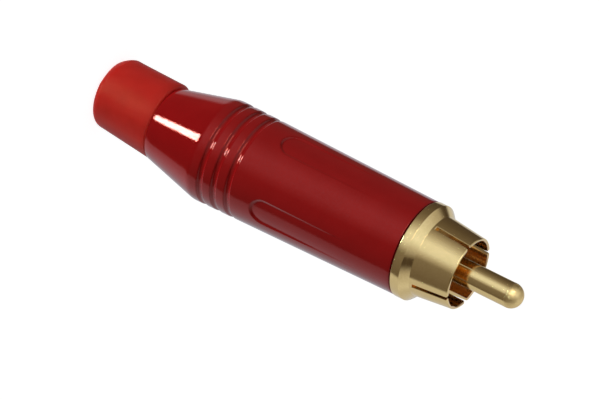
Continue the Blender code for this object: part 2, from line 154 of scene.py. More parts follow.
def spread(tree, value, low, high, rise="LINEAR"):
    """A value's rise from 0 at the low mark to 1 at the high mark."""
    return add_node(
        tree, "ShaderNodeMapRange", settings={"interpolation_type": rise},
        Value=value, From_Min=low, From_Max=high,
    ).outputs["Result"]


def smooth_step(tree, value, low, high):
    """The same rise with a soft start and a soft end."""
    return spread(tree, value, low, high, "SMOOTHSTEP")


def scaled(tree, vector, scale):
    """A place or a colour times a number."""
    return add_node(
        tree, "ShaderNodeVectorMath", settings={"operation": "SCALE"}, Vector=vector, Scale=scale
    ).outputs[0]


def mixed_colour(tree, factor, first, second):
    """Mix two colours by a mask; each is three numbers or another node's output."""
    mix = add_node(tree, "ShaderNodeMix", settings={"data_type": "RGBA"})
    fill(tree, mix.inputs[0], factor)
    for socket, colour in ((mix.inputs[6], first), (mix.inputs[7], second)):
        fill(tree, socket, (*colour, 1.0) if isinstance(colour, tuple) else colour)
    return mix.outputs[2]


print("node helpers are ready")

# %% Helpers for node groups
def new_group(name, kind, inputs, outputs):
    """
    A node group with named sockets, and what comes into it. An input is given by its default
    number, or by its kind where it has none.
    """
    tree = bpy.data.node_groups.new(name, kind)
    for label, given in inputs.items():
        is_number = not isinstance(given, str)
        word = type(given).__name__.title() if is_number else given
        socket = tree.interface.new_socket(
            name=label, in_out="INPUT", socket_type="NodeSocket" + word
        )
        if is_number:
            socket.default_value = given
    for label in outputs:
        word = "Geometry" if kind == "GeometryNodeTree" else "Float"
        tree.interface.new_socket(name=label, in_out="OUTPUT", socket_type="NodeSocket" + word)
    return tree, tree.nodes.new("NodeGroupInput").outputs


def give_back(tree, **results):
    """End a group: each result goes to the output of its name."""
    end = tree.nodes.new("NodeGroupOutput")
    for name, result in results.items():
        tree.links.new(result, end.inputs[name])


def from_axis(tree, side, depth):
    """How far a point stands from the plug's axis."""
    flat = join(tree, "ShaderNodeCombineXYZ", side, depth)
    return add_node(
        tree, "ShaderNodeVectorMath", settings={"operation": "LENGTH"}, Vector=flat
    ).outputs["Value"]


print("group helpers are ready")

# %% [markdown]
# ## The studio
#
# Polished gold mostly shows the room. In a studio the room is white paper with dark cards between,
# and the bands along the plug are those. They could be modelled as planes, but they can also be
# written straight into the world, by compass direction round the plug: one ramp for what lies
# under the plug, one for what is level with it and one for what is above. Two lamps are patches of
# light among them, and only a first reflection shows them. The camera sees plain white, glossy
# surfaces see the papers, cards and lamps, and everything else gets an even white light.

# %% Surroundings
EVEN_LIGHT = 0.30
# Each ramp: degrees of the compass from the front, and how bright the room is there.
UNDER_ROOM = [
    (-180, 0.50), (-125, 0.45), (-117, 0.06), (0, 0.05), (85, 0.06), (90, 0.55), (115, 0.62),
    (180, 0.50),
]
LOW_ROOM = [
    (-180, 0.60), (-151, 0.60), (-144, 0.07), (-112, 0.10), (-85, 0.15), (-64, 0.23), (-50, 0.42),
    (-25, 0.86), (-4, 0.80), (12, 0.42), (22, 0.21), (79, 0.14), (84, 0.58), (130, 0.54),
    (180, 0.60),
]
HIGH_ROOM = [
    (-180, 0.70), (-140, 0.30), (-105, 0.51), (-60, 0.84), (-25, 0.95), (0, 0.66), (40, 0.22),
    (46, 0.07), (68, 0.07), (90, 0.46), (120, 0.66), (180, 0.70),
]
# The rises, from -1 straight below to 1 straight above, where one ramp blends into the next.
UNDER_TO_LOW = (-0.60, -0.44)
LOW_TO_HIGH = (0.30, 0.52)
FULL_PAPER = (0.98, 1.09, 1.28)
BROWNING = (1.00, 1.14, 1.30)
FIRST_REFLECTION = 2.5
# A lamp has its middle and half width by compass and by height, its brightness and its colour.
LAMPS = {
    "front lamp": ((-4.5, 9.0), (-51.0, 9.0), 44.0, (0.65, 1.0, 1.0, 1.0)),
    "side lamp": ((-28.0, 16.0), (20.0, 7.0), 6.0, (1.0, 0.95, 0.85, 1.0)),
}


def paper(level):
    """White paper, a little cool; the cards that are darker than it are also browner."""
    share = level / FULL_PAPER[0]
    return (*(full * share ** power for full, power in zip(FULL_PAPER, BROWNING)), 1.0)


def room_ramp(tree, turn_share, room):
    """The room's brightness by compass direction, as a colour ramp."""
    ramp = add_node(tree, "ShaderNodeValToRGB", Fac=turn_share)
    stops = ramp.color_ramp.elements
    for degrees, level in room[1:-1]:
        stops.new((degrees + 180) / 360)
    for stop, (degrees, level) in zip(stops, room):
        stop.color = paper(level)
    return ramp.outputs["Color"]


def lamp_patch(tree, compass, rise_angle, across, up, light):
    """A patch of light with sharp edges, from angles in degrees."""
    inside = []
    for angle, (middle, half) in ((compass, across), (rise_angle, up)):
        off = calc(tree, "ABSOLUTE", calc(tree, "SUBTRACT", angle, math.radians(middle)))
        inside.append(calc(tree, "LESS_THAN", off, math.radians(half)))
    return times(tree, times(tree, *inside), light)


def background(tree, name, colour, strength=1.0):
    return add_node(tree, "ShaderNodeBackground", name, Color=colour, Strength=strength).outputs[0]


def make_surroundings():
    world = bpy.data.worlds.new("studio")
    bpy.context.scene.world = world
    world.use_nodes = True
    world.cycles.sampling_method = "NONE"
    tree = world.node_tree
    tree.nodes.clear()
    way = add_node(tree, "ShaderNodeTexCoord").outputs["Generated"]
    side, depth, rise = add_node(tree, "ShaderNodeSeparateXYZ", Vector=way).outputs
    compass = calc(tree, "ARCTAN2", side, times(tree, depth, -1.0))
    rise_angle = calc(tree, "ARCSINE", rise)
    turn_share = calc(tree, "MULTIPLY_ADD", compass, 1 / math.tau, 0.5)
    under, low, high = [
        room_ramp(tree, turn_share, room) for room in (UNDER_ROOM, LOW_ROOM, HIGH_ROOM)
    ]
    above_floor = mixed_colour(tree, smooth_step(tree, rise, *UNDER_TO_LOW), under, low)
    room = mixed_colour(tree, smooth_step(tree, rise, *LOW_TO_HIGH), above_floor, high)
    path = add_node(tree, "ShaderNodeLightPath").outputs
    is_direct = calc(tree, "LESS_THAN", path["Ray Depth"], FIRST_REFLECTION)
    shiny = background(tree, "papers and cards", room)
    for name, (across, up, light, colour) in LAMPS.items():
        patch = lamp_patch(tree, compass, rise_angle, across, up, light)
        lamp = background(tree, name, colour, times(tree, patch, is_direct))
        shiny = join(tree, "ShaderNodeAddShader", shiny, lamp)
    even = background(tree, "even light", (1.0, 1.0, 1.0, 1.0), EVEN_LIGHT)
    white = background(tree, "white", (1.0, 1.0, 1.0, 1.0))
    for_gloss = join(tree, "ShaderNodeMixShader", path["Is Glossy Ray"], even, shiny)
    for_camera = join(tree, "ShaderNodeMixShader", path["Is Camera Ray"], for_gloss, white)
    join(tree, "ShaderNodeOutputWorld", for_camera)
    return world


studio = make_surroundings()
bpy.context.scene.view_settings.view_transform = "Standard"
print("surroundings:", studio.name, "with", len(LAMPS), "lamps and an even light of", EVEN_LIGHT)

# %% [markdown]
# ## The floor and the lamp
#
# The floor is a light table: a big sheet that gives light of its own to the camera, so that it
# reads as white and still takes the plug's soft shadow. The one large lamp shines up through it
# from the left, as the light on the rear cone and the grooves asks for, so the floor casts no
# shadow. The lamp is kept out of reflections, because the world already says what they show.

# %% Floor and lamp
FLOOR_HALF = 1.5
FLOOR_TONE = 0.48
FLOOR_GLOW = 0.90
SOFT_LAMP_PLACE = (-0.181, -0.558, -0.351)
SOFT_LAMP_AIM = (0.0, 0.0, 0.03)
SOFT_LAMP_SIZE = 0.50
SOFT_LAMP_WATTS = 4.5


def make_floor():
    mesh = bpy.data.meshes.new("floor")
    signs = ((-1, -1), (1, -1), (1, 1), (-1, 1))
    corners = [(x * FLOOR_HALF, y * FLOOR_HALF, 0.0) for x, y in signs]
    mesh.from_pydata(corners, [], [(0, 1, 2, 3)])
    floor = add_object("floor", mesh)
    material = bpy.data.materials.new("floor paper")
    material.use_nodes = True
    tree = material.node_tree
    tree.nodes.clear()
    sheet = add_node(tree, "ShaderNodeBsdfDiffuse", Color=(FLOOR_TONE, FLOOR_TONE, FLOOR_TONE, 1.0))
    is_camera = add_node(tree, "ShaderNodeLightPath").outputs["Is Camera Ray"]
    strength = times(tree, is_camera, FLOOR_GLOW)
    glow = add_node(tree, "ShaderNodeEmission", Color=(1.0, 1.0, 1.0, 1.0), Strength=strength)
    both = join(tree, "ShaderNodeAddShader", sheet.outputs[0], glow.outputs[0])
    join(tree, "ShaderNodeOutputMaterial", both)
    mesh.materials.append(material)
    floor.visible_glossy = False
    floor.visible_shadow = False


def make_soft_lamp():
    data = bpy.data.lights.new("soft_lamp", "AREA")
    data.shape = "DISK"
    data.size = SOFT_LAMP_SIZE
    data.energy = SOFT_LAMP_WATTS
    lamp = add_object("soft_lamp", data)
    lamp.location = SOFT_LAMP_PLACE
    backwards = Vector(SOFT_LAMP_PLACE) - Vector(SOFT_LAMP_AIM)
    lamp.rotation_euler = backwards.to_track_quat("Z", "Y").to_euler()
    lamp.visible_glossy = False
    lamp.visible_camera = False
    return lamp


make_floor()
soft_lamp = make_soft_lamp()
print("floor", FLOOR_HALF * 2, "m across; lamp of", soft_lamp.data.energy, "W")

# %% [markdown]
# ## Turning pieces with Geometry Nodes
#
# Nearly every piece here is turned on a lathe or moulded round, so one Geometry Nodes tree makes
# them all. The object that wears the modifier holds only the points of half a section, as radius
# and height. The tree makes a flat grid with one column of points for each of them, and a
# Set Position node rolls the grid round the axis. With a pitch the same tree winds a screw thread,
# and its height fades in and out at the ends as a real thread does. The tree ends in Realize
# Instances and Set Material: instances would be lost when the result is copied into a plain mesh,
# and a grid made by a tree has no material yet.

# %% The turning tree
NEARLY_NOTHING = 1e-6
SAME_POINT = 2e-7


def dress(tree, geometry, material, name):
    """End a Geometry Nodes tree: real points in a material of its own."""
    real = add_node(tree, "GeometryNodeRealizeInstances", Geometry=geometry)
    dressed = add_node(tree, "GeometryNodeSetMaterial", Geometry=real.outputs[0], Material=material)
    give_back(tree, **{name: dressed.outputs[0]})


def make_turning_tree():
    tree, given = new_group("turned_piece", "GeometryNodeTree", {
        "Section": "Geometry", "Steps": 96, "Turns": 1.0, "Pitch": 0.0, "Core Radius": 0.0,
        "Fade": 0.0, "Material": "Material",
    }, ["Piece"])
    count = add_node(
        tree, "GeometryNodeAttributeDomainSize", settings={"component": "MESH"},
        Geometry=given["Section"],
    ).outputs["Point Count"]
    around = calc(tree, "ADD", given["Steps"], 1.0)
    grid = add_node(
        tree, "GeometryNodeMeshGrid", Vertices_X=count, Vertices_Y=around, Size_X=1.0, Size_Y=1.0
    )
    index = tree.nodes.new("GeometryNodeInputIndex").outputs[0]
    half_up = calc(tree, "ADD", index, 0.5)
    row = calc(tree, "FLOOR", calc(tree, "DIVIDE", half_up, around))
    column = calc(tree, "SUBTRACT", index, times(tree, row, around))
    share = calc(tree, "DIVIDE", column, given["Steps"])
    position = tree.nodes.new("GeometryNodeInputPosition").outputs[0]
    sample = add_node(
        tree, "GeometryNodeSampleIndex", settings={"data_type": "FLOAT_VECTOR", "domain": "POINT"},
        Geometry=given["Section"], Index=row, Value=position,
    )
    point = add_node(tree, "ShaderNodeSeparateXYZ", Vector=sample.outputs["Value"]).outputs
    turns = times(tree, share, given["Turns"])
    left = calc(tree, "SUBTRACT", given["Turns"], turns)
    nearest_end = calc(tree, "MINIMUM", turns, left)
    fade = calc(tree, "MAXIMUM", given["Fade"], NEARLY_NOTHING)
    grown = calc(tree, "DIVIDE", nearest_end, fade, clamp=True)
    no_fade = calc(tree, "LESS_THAN", given["Fade"], NEARLY_NOTHING)
    height = calc(tree, "MAXIMUM", grown, no_fade)
    above_core = calc(tree, "SUBTRACT", point["X"], given["Core Radius"])
    radius = calc(tree, "MULTIPLY_ADD", above_core, height, given["Core Radius"])
    angle = times(tree, turns, math.tau)
    place = join(
        tree, "ShaderNodeCombineXYZ", times(tree, radius, calc(tree, "COSINE", angle)),
        times(tree, radius, calc(tree, "SINE", angle)),
        calc(tree, "MULTIPLY_ADD", turns, given["Pitch"], point["Z"]),
    )
    rolled = add_node(
        tree, "GeometryNodeSetPosition", Geometry=grid.outputs["Mesh"], Position=place
    )
    closed = add_node(
        tree, "GeometryNodeMergeByDistance", Geometry=rolled.outputs[0], Distance=SAME_POINT
    )
    dress(tree, closed.outputs[0], given["Material"], "Piece")
    return tree


turning_tree = make_turning_tree()
print("turning tree:", len(turning_tree.nodes), "nodes")

# %% [markdown]
# ## From a section to a finished piece
#
# A modifier's inputs are set by their identifiers, before Blender evaluates the object for the
# first time. The result is then copied into a plain mesh, so that nothing live is left on it.
# Real edges are never quite sharp, so each corner of a section is first rounded a little: those
# small rounds catch the light and make a turned piece look real.

# %% Drawing a section
STRAIGHT_BELOW = math.radians(12)
SIDE_SHARE = 0.45


def bent(start, corner, end, steps):
    """Points of a small curve from start to end that is drawn towards the corner."""
    points = []
    for step in range(steps + 1):
        share = step / steps
        points.append(tuple(start.lerp(corner, share).lerp(corner.lerp(end, share), share)))
    return points


def rounded(points, radius, steps=2, closed=True):
    """Round every corner of a section by a small radius, within half of each side."""
    done = []
    count = len(points)
    for index in range(count):
        here = Vector(points[index])
        if not closed and index in (0, count - 1):
            done.append(tuple(here))
            continue
        before = Vector(points[index - 1]) - here
        after = Vector(points[(index + 1) % count]) - here
        bend = math.pi - before.angle(after)
        if bend < STRAIGHT_BELOW:
            done.append(tuple(here))
            continue
        longest = min(before.length, after.length) * SIDE_SHARE
        reach = min(radius * math.tan(bend / 2), longest)
        start = here + before.normalized() * reach
        end = here + after.normalized() * reach
        done += bent(start, here, end, steps)
    return done


def arc(centre, radius, start, end, steps):
    """Points of a section along an arc, with angles in degrees."""
    points = []
    for step in range(steps + 1):
        angle = math.radians(start + (end - start) * step / steps)
        points.append((centre[0] + radius * math.cos(angle), centre[1] + radius * math.sin(angle)))
    return points


def line(start, end, spacing):
    """Points along a straight run, close enough for what is cut into it later."""
    count = max(1, round(math.dist(start, end) / spacing))
    return [tuple(Vector(start).lerp(Vector(end), step / count)) for step in range(count)]


print("a right angle rounded:", len(rounded([(0, 0), (1, 0), (1, 1)], 0.1, closed=False)), "points")

# %% Making and finishing a piece
SAME_CORNER = 1e-7
NO_LENGTH = 1e-8


def section_object(name, section, closed):
    """An object that holds only the points of a section, given in millimetres."""
    points = [(radius * MM, 0.0, height * MM) for radius, height in section]
    if closed:
        points.append(points[0])
    mesh = bpy.data.meshes.new(name)
    mesh.from_pydata(points, [], [])
    return add_object(name, mesh)


def wear(piece, name, tree, values):
    """Put a Geometry Nodes modifier on a piece. Inputs are found by name, set by identifier."""
    modifier = piece.modifiers.new(name, "NODES")
    modifier.node_group = tree
    for item in tree.interface.items_tree:
        if item.item_type == "SOCKET" and item.in_out == "INPUT" and item.name in values:
            modifier[item.identifier] = values[item.name]


def tidy_faces(piece, smooth_below=32):
    """Close the ends, turn every face outwards and shade the round faces smooth."""
    mesh = piece.data
    shape = bmesh.new()
    shape.from_mesh(mesh)
    bmesh.ops.remove_doubles(shape, verts=shape.verts, dist=SAME_CORNER)
    bmesh.ops.dissolve_degenerate(shape, edges=shape.edges, dist=NO_LENGTH)
    open_edges = [edge for edge in shape.edges if edge.is_boundary]
    if open_edges:
        bmesh.ops.holes_fill(shape, edges=open_edges, sides=0)
    bmesh.ops.recalc_face_normals(shape, faces=shape.faces)
    if shape.calc_volume(signed=True) < 0:
        bmesh.ops.reverse_faces(shape, faces=shape.faces)
    shape.to_mesh(mesh)
    shape.free()
    finish = next(material for material in mesh.materials if material is not None)
    mesh.materials.clear()
    mesh.materials.append(finish)
    mesh.polygons.foreach_set("material_index", [0] * len(mesh.polygons))
    mesh.shade_smooth()
    mesh.set_sharp_from_angle(angle=math.radians(smooth_below))


def make_plain(piece, smooth_below=32):
    """Copy the evaluated result into a plain mesh, and take the modifiers off."""
    evaluated = piece.evaluated_get(bpy.context.evaluated_depsgraph_get())
    mesh = bpy.data.meshes.new_from_object(evaluated)
    old = piece.data
    piece.modifiers.clear()
    piece.data = mesh
    mesh.name = piece.name
    bpy.data.meshes.remove(old)
    tidy_faces(piece, smooth_below)


def turned_piece(name, section, material, steps=128, closed=True, screw=None):
    """Turn a section round the axis. Sizes in millimetres."""
    piece = section_object(name, section, closed)
    values = {"Steps": steps, "Turns": 1.0, "Material": material, **(screw or {})}
    wear(piece, "turned", turning_tree, values)
    make_plain(piece)
    return piece


def hand_over(piece, body, slot_name, *nodes):
    """Let a finished piece ride on its body, and stand for the CAD nodes it covers."""
    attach(piece, body)
    if nodes:
        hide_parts(*nodes)
    triangles = sum(len(face.vertices) - 2 for face in piece.data.polygons)
    print(f"{piece.name}: {triangles} triangles on body {body}")


print("piece helpers are ready")

# %% Cutting a piece
def cut_away(piece, *cutters):
    """Take shapes away from a piece with exact booleans."""
    for cutter in cutters:
        modifier = piece.modifiers.new("cut", "BOOLEAN")
        modifier.operation = "DIFFERENCE"
        modifier.solver = "EXACT"
        modifier.object = cutter
    make_plain(piece)
    for cutter in cutters:
        bpy.data.objects.remove(cutter, do_unlink=True)


def loose_object(name, shape, angle=0.0):
    """Turn a bmesh into an object of its own, turned about the plug's axis in degrees."""
    shape.transform(Matrix.Rotation(math.radians(angle), 4, "Z"))
    mesh = bpy.data.meshes.new(name)
    shape.to_mesh(mesh)
    shape.free()
    return add_object(name, mesh)


def block(low, high, angle=0.0):
    """A box between two corners in millimetres, turned about the plug's axis."""
    shape = bmesh.new()
    bmesh.ops.create_cube(shape, size=1.0)
    size = (Vector(high) - Vector(low)) * MM
    middle = (Vector(high) + Vector(low)) / 2 * MM
    bmesh.ops.scale(shape, vec=size, verts=shape.verts)
    bmesh.ops.translate(shape, vec=middle, verts=shape.verts)
    return loose_object("cutter", shape, angle)


print("cutting helpers are ready")

# %% [markdown]
# ## Shared surface effects
#
# Several finishes share an effect: tool marks round a turned piece, or the fine grain of a moulding
# or a lacquer. Each effect is a shader node group with named inputs, built once and then placed in
# a material with that material's own values. A group only gives heights and masks; the shader
# stays in the material.

# %% Shared surface effects
GRAIN_MASK = (0.35, 0.65)
MARKS_MASK = (0.3, 0.7)


def noise_height(tree, place, detail, rough):
    """Noise from 0 to 1, in grains that are one unit across."""
    return add_node(
        tree, "ShaderNodeTexNoise", Vector=place, Scale=1.0, Detail=detail, Roughness=rough
    ).outputs["Fac"]


def make_fine_grain():
    """Fine even grain, such as a moulding's skin or the orange peel of a lacquer."""
    tree, given = new_group("fine_grain", "ShaderNodeTree", {
        "Vector": "Vector", "Grain Size": 0.2, "Detail": 2.0,
    }, ["Height", "Mask"])
    grains = calc(tree, "DIVIDE", PER_METRE, given["Grain Size"])
    height = noise_height(tree, scaled(tree, given["Vector"], grains), given["Detail"], 0.55)
    give_back(tree, Height=height, Mask=spread(tree, height, *GRAIN_MASK))
    return tree


def make_tool_marks():
    """Fine rings that a cutting tool leaves round a turned piece, on its sides and on its faces."""
    tree, given = new_group("tool_marks", "ShaderNodeTree", {
        "Vector": "Vector", "Mark Width": 0.05, "Wander": 0.3,
    }, ["Height", "Mask"])
    side, depth, rise = add_node(tree, "ShaderNodeSeparateXYZ", Vector=given["Vector"]).outputs
    fine = calc(tree, "DIVIDE", PER_METRE, given["Mark Width"])
    slow = times(tree, given["Wander"], PER_METRE)
    along = times(tree, rise, fine)
    outward = times(tree, from_axis(tree, side, depth), fine)
    drift = times(tree, depth, slow)
    across = calc(tree, "ADD", along, times(tree, side, slow))
    rings = join(
        tree, "ShaderNodeCombineXYZ", across, calc(tree, "ADD", outward, drift), drift
    )
    height = noise_height(tree, rings, 3.0, 0.6)
    give_back(tree, Height=height, Mask=spread(tree, height, *MARKS_MASK))
    return tree


fine_grain = make_fine_grain()
tool_marks = make_tool_marks()
print("shared effects:", [group.name for group in (fine_grain, tool_marks)])

# %% [markdown]
# ## Material helpers
#
# Each finish starts from a Principled shader with its plain numbers set on the shader itself.
# Only what changes over the surface is wired in: a colour that varies, a roughness that varies and
# a bump. Object coordinates are used throughout, so the pattern stays on a piece as it moves.

# %% Material helpers
class Finish:
    """A material under construction: its tree, its shader and its object coordinates."""

    def __init__(self, name, colour, **constants):
        self.material = bpy.data.materials.new(name)
        self.material.use_nodes = True
        self.material.diffuse_color = (*colour, 1.0)
        self.tree = self.material.node_tree
        self.shader = self.tree.nodes["Principled BSDF"]
        self.shader.inputs["Base Color"].default_value = (*colour, 1.0)
        for key, value in constants.items():
            self.shader.inputs[key.replace("_", " ")].default_value = value
        self.place = add_node(self.tree, "ShaderNodeTexCoord").outputs["Object"]
        self.bump = None

    def split_place(self):
        """The coordinates as three numbers: X sideways, Y in depth and Z up."""
        return add_node(self.tree, "ShaderNodeSeparateXYZ", Vector=self.place).outputs

    def effect(self, group, place=None, **values):
        """Place a shared effect with this material's own values, and give back its outputs."""
        made = self.tree.nodes.new("ShaderNodeGroup")
        made.node_tree = group
        self.tree.links.new(self.place if place is None else place, made.inputs["Vector"])
        for key, value in values.items():
            made.inputs[key.replace("_", " ")].default_value = value
        return made.outputs

    def rise(self, value, marks):
        """A soft mask that grows between two marks."""
        return smooth_step(self.tree, value, *marks)

    def blend(self, factor, first, second):
        return mixed_colour(self.tree, factor, first, second)

    def feed(self, socket, output):
        self.tree.links.new(output, self.shader.inputs[socket])

    def vary(self, socket, mask, low, high):
        """Let a number on the shader run from low to high with a mask."""
        self.feed(socket, between(self.tree, mask, low, high))

    def add_bump(self, height, depth_mm):
        """Add a bump of a real depth in millimetres, over any bump that is there already."""
        bump = add_node(
            self.tree, "ShaderNodeBump", Strength=1.0, Distance=depth_mm * MM, Height=height
        )
        if self.bump is not None:
            self.tree.links.new(self.bump.outputs[0], bump.inputs["Normal"])
        self.bump = bump
        self.feed("Normal", bump.outputs[0])


print("material helpers are ready")

# %% [markdown]
# ## The finishes
#
# The shell is a zinc casting under a deep red gloss lacquer: a dark red body under a thin clear
# coat, with the faint unevenness of sprayed paint. The coat speckles the light on the cone. The
# red is painted lighter on the cone than on the barrel, and lighter where the surface turns away
# from the eye, most on the side away from the lamp: painted light and painted reflection. The boot
# is a soft matt moulding in a warmer red. Light goes a little way under its skin; its colour is
# painted paler on the side away from the lamp as painted fill light, and lighter at its front edge
# against the shell, where the seam is in shade. The gold is a thin plating on turned brass, so it
# keeps the tool marks of the metal below, and its colour is painted darker and browner inside the
# sleeve as painted shade. The pin is drawn rod, with fine lines along it and a softer tip. The
# pieces inside are plain plastics and plated steel.
#
# Where a look changes from one place to the next, the two marks of the change are written down
# first. The marks of a place are in metres.

# %% Red lacquer
BARREL_TO_CONE = (21.0 * MM, 10.0 * MM)
MIDDLE_TO_FAR_SIDE = (0.0, 4.0 * MM)
FACE_TO_EDGE = (0.28, 0.60)
# Painted light: the cone's colour is painted lighter than the barrel's, and the colour is painted
# lighter towards grazing edges, most on the side away from the lamp, as painted reflection and
# painted fill light.
CONE_PAINTED_LIGHT = (1.0, 1.07)
EDGE_PAINTED_LIGHT = (0.20, 0.62)
SPECKLE = (-0.18, 0.22)
SPECKLE_SHARE = (0.18, 1.0)
COAT_AT_FACE = 0.19
COAT_RISE = 0.25


def red_lacquer_finish():
    finish = Finish(
        "red lacquer on zinc", (0.210, 0.0048, 0.0040), Roughness=0.05, Specular_IOR_Level=0.8,
        Specular_Tint=(1.0, 0.11, 0.06, 1.0), Coat_Roughness=0.03, Coat_IOR=1.5,
    )
    tree = finish.tree
    peel = finish.effect(fine_grain, Grain_Size=0.22, Detail=2.0)
    cloud = finish.effect(fine_grain, Grain_Size=2.6, Detail=2.0)
    speck = finish.effect(fine_grain, Grain_Size=0.26, Detail=1.0)
    point = finish.split_place()
    facing = add_node(tree, "ShaderNodeLayerWeight", Blend=0.5).outputs["Facing"]
    on_cone = finish.rise(point["Z"], BARREL_TO_CONE)
    at_edge = finish.rise(facing, FACE_TO_EDGE)
    # Painted light and painted reflection: the base colour is raised at grazing edges, more on the
    # side away from the lamp, and on the cone.
    glow = between(tree, finish.rise(point["X"], MIDDLE_TO_FAR_SIDE), *EDGE_PAINTED_LIGHT)
    painted_light_gain = calc(tree, "MULTIPLY_ADD", at_edge, glow, between(tree, on_cone, *CONE_PAINTED_LIGHT))
    deep = finish.blend(cloud["Mask"], (0.234, 0.0048, 0.0054), (0.249, 0.0053, 0.0059))
    finish.feed("Base Color", scaled(tree, deep, painted_light_gain))
    finish.vary("Roughness", peel["Mask"], 0.03, 0.06)
    uneven = between(tree, speck["Mask"], *SPECKLE)
    uneven = times(tree, uneven, calc(tree, "SUBTRACT", 1.0, at_edge))
    uneven = times(tree, uneven, between(tree, on_cone, *SPECKLE_SHARE))
    level = calc(tree, "ADD", uneven, COAT_AT_FACE)
    finish.feed("Coat Weight", calc(tree, "MULTIPLY_ADD", facing, COAT_RISE, level))
    finish.add_bump(peel["Height"], 0.010)
    return finish.material


red_lacquer = red_lacquer_finish()
print("finish:", red_lacquer.name)

# %% Soft red moulding
# Marks of painted light: the colour is painted paler towards the side away from the lamp, and
# lighter at the front edge, where the seam with the shell is in shade.
MIDDLE_TO_PAINTED_FILL_SIDE = (1.8 * MM, 4.8 * MM)
BOOT_TO_FRONT = (8.55 * MM, 8.75 * MM)


def soft_red_finish():
    finish = Finish(
        "soft red moulding", (0.44, 0.018, 0.0135), Roughness=0.5, Specular_IOR_Level=0.32,
        Specular_Tint=(0.8, 0.60, 0.28, 1.0), Subsurface_Weight=0.7, Subsurface_Scale=0.004,
        Subsurface_Radius=(1.0, 0.3, 0.25),
    )
    skin = finish.effect(fine_grain, Grain_Size=0.06, Detail=3.0)
    cloud = finish.effect(fine_grain, Grain_Size=1.9, Detail=2.0)
    point = finish.split_place()
    tone = finish.blend(cloud["Mask"], (0.425, 0.0172, 0.0128), (0.455, 0.0190, 0.0142))
    # Painted fill light on the side away from the lamp.
    tone = finish.blend(finish.rise(point["X"], MIDDLE_TO_PAINTED_FILL_SIDE), tone, (0.68, 0.028, 0.021))
    # Painted light at the front edge, where the seam with the shell is in shade.
    tone = finish.blend(finish.rise(point["Z"], BOOT_TO_FRONT), tone, (0.58, 0.028, 0.021))
    finish.feed("Base Color", tone)
    finish.vary("Roughness", skin["Mask"], 0.42, 0.56)
    finish.add_bump(skin["Height"], 0.006)
    return finish.material


soft_red = soft_red_finish()
print("finish:", soft_red.name)

# %% Gold plating
# The first three marks place the painted shade inside the sleeve.
PIN_TO_SLEEVE = (1.8 * MM, 2.3 * MM)
OUTSIDE_TO_INSIDE = (4.60 * MM, 4.35 * MM)
FLANGE_TO_SLEEVE = (46.5 * MM, 47.5 * MM)
PIN_TO_TIP = (58.6 * MM, 59.6 * MM)
TIP_ROUGHER = 0.32
ALONG_THE_ROD = (1.0, 1.0, 0.04)


def gold_finish(name, mark_depth, streak_depth):
    finish = Finish(name, (0.94, 0.70, 0.31), Metallic=1.0, Roughness=0.12)
    tree = finish.tree
    stretched = join(
        tree, "ShaderNodeVectorMath", finish.place, ALONG_THE_ROD, operation="MULTIPLY"
    )
    marks = finish.effect(tool_marks, Mark_Width=0.045, Wander=0.10)
    satin = finish.effect(fine_grain, Grain_Size=0.15, Detail=3.0)
    cloud = finish.effect(fine_grain, Grain_Size=1.4, Detail=2.0)
    drawn = finish.effect(fine_grain, stretched, Grain_Size=0.22, Detail=2.0)
    side, depth, rise = finish.split_place()
    radius = from_axis(tree, side, depth)
    off_pin = finish.rise(radius, PIN_TO_SLEEVE)
    inside = times(tree, off_pin, finish.rise(radius, OUTSIDE_TO_INSIDE))
    painted_shade_in_sleeve = times(tree, inside, finish.rise(rise, FLANGE_TO_SLEEVE))
    tone = finish.blend(cloud["Mask"], (0.92, 0.685, 0.300), (0.96, 0.715, 0.325))
    plated = finish.blend(satin["Mask"], (0.88, 0.650, 0.275), tone)
    # Painted shade: the colour is painted darker and browner inside the sleeve.
    finish.feed("Base Color", finish.blend(painted_shade_in_sleeve, plated, (0.86, 0.60, 0.33)))
    rough = between(tree, marks["Mask"], 0.08, 0.17)
    at_tip = finish.rise(rise, PIN_TO_TIP)
    finish.feed("Roughness", calc(tree, "MULTIPLY_ADD", at_tip, TIP_ROUGHER, rough))
    finish.add_bump(marks["Height"], mark_depth)
    finish.add_bump(satin["Height"], 0.0030)
    finish.add_bump(drawn["Height"], streak_depth)
    return finish.material


gold_plate = gold_finish("satin gold plate", 0.0011, 0.0015)
drawn_gold = gold_finish("gold plate on drawn rod", 0.0006, 0.0120)
print("finishes:", gold_plate.name, "and", drawn_gold.name)

# %% Plastics and steel
def moulded_finish(name, dark, light, rough, grain):
    finish = Finish(name, light, Roughness=rough, Specular_IOR_Level=0.5)
    skin = finish.effect(fine_grain, Grain_Size=grain, Detail=3.0)
    cloud = finish.effect(fine_grain, Grain_Size=1.6, Detail=2.0)
    finish.feed("Base Color", finish.blend(cloud["Mask"], dark, light))
    finish.vary("Roughness", skin["Mask"], rough - 0.06, rough + 0.06)
    finish.add_bump(skin["Height"], 0.004)
    return finish.material


def turned_finish(name, dark, light, rough, metallic):
    finish = Finish(name, light, Roughness=rough, Metallic=metallic)
    marks = finish.effect(tool_marks, Mark_Width=0.06, Wander=0.08)
    finish.feed("Base Color", finish.blend(marks["Mask"], dark, light))
    finish.vary("Roughness", marks["Mask"], rough - 0.05, rough + 0.07)
    finish.add_bump(marks["Height"], 0.002)
    return finish.material


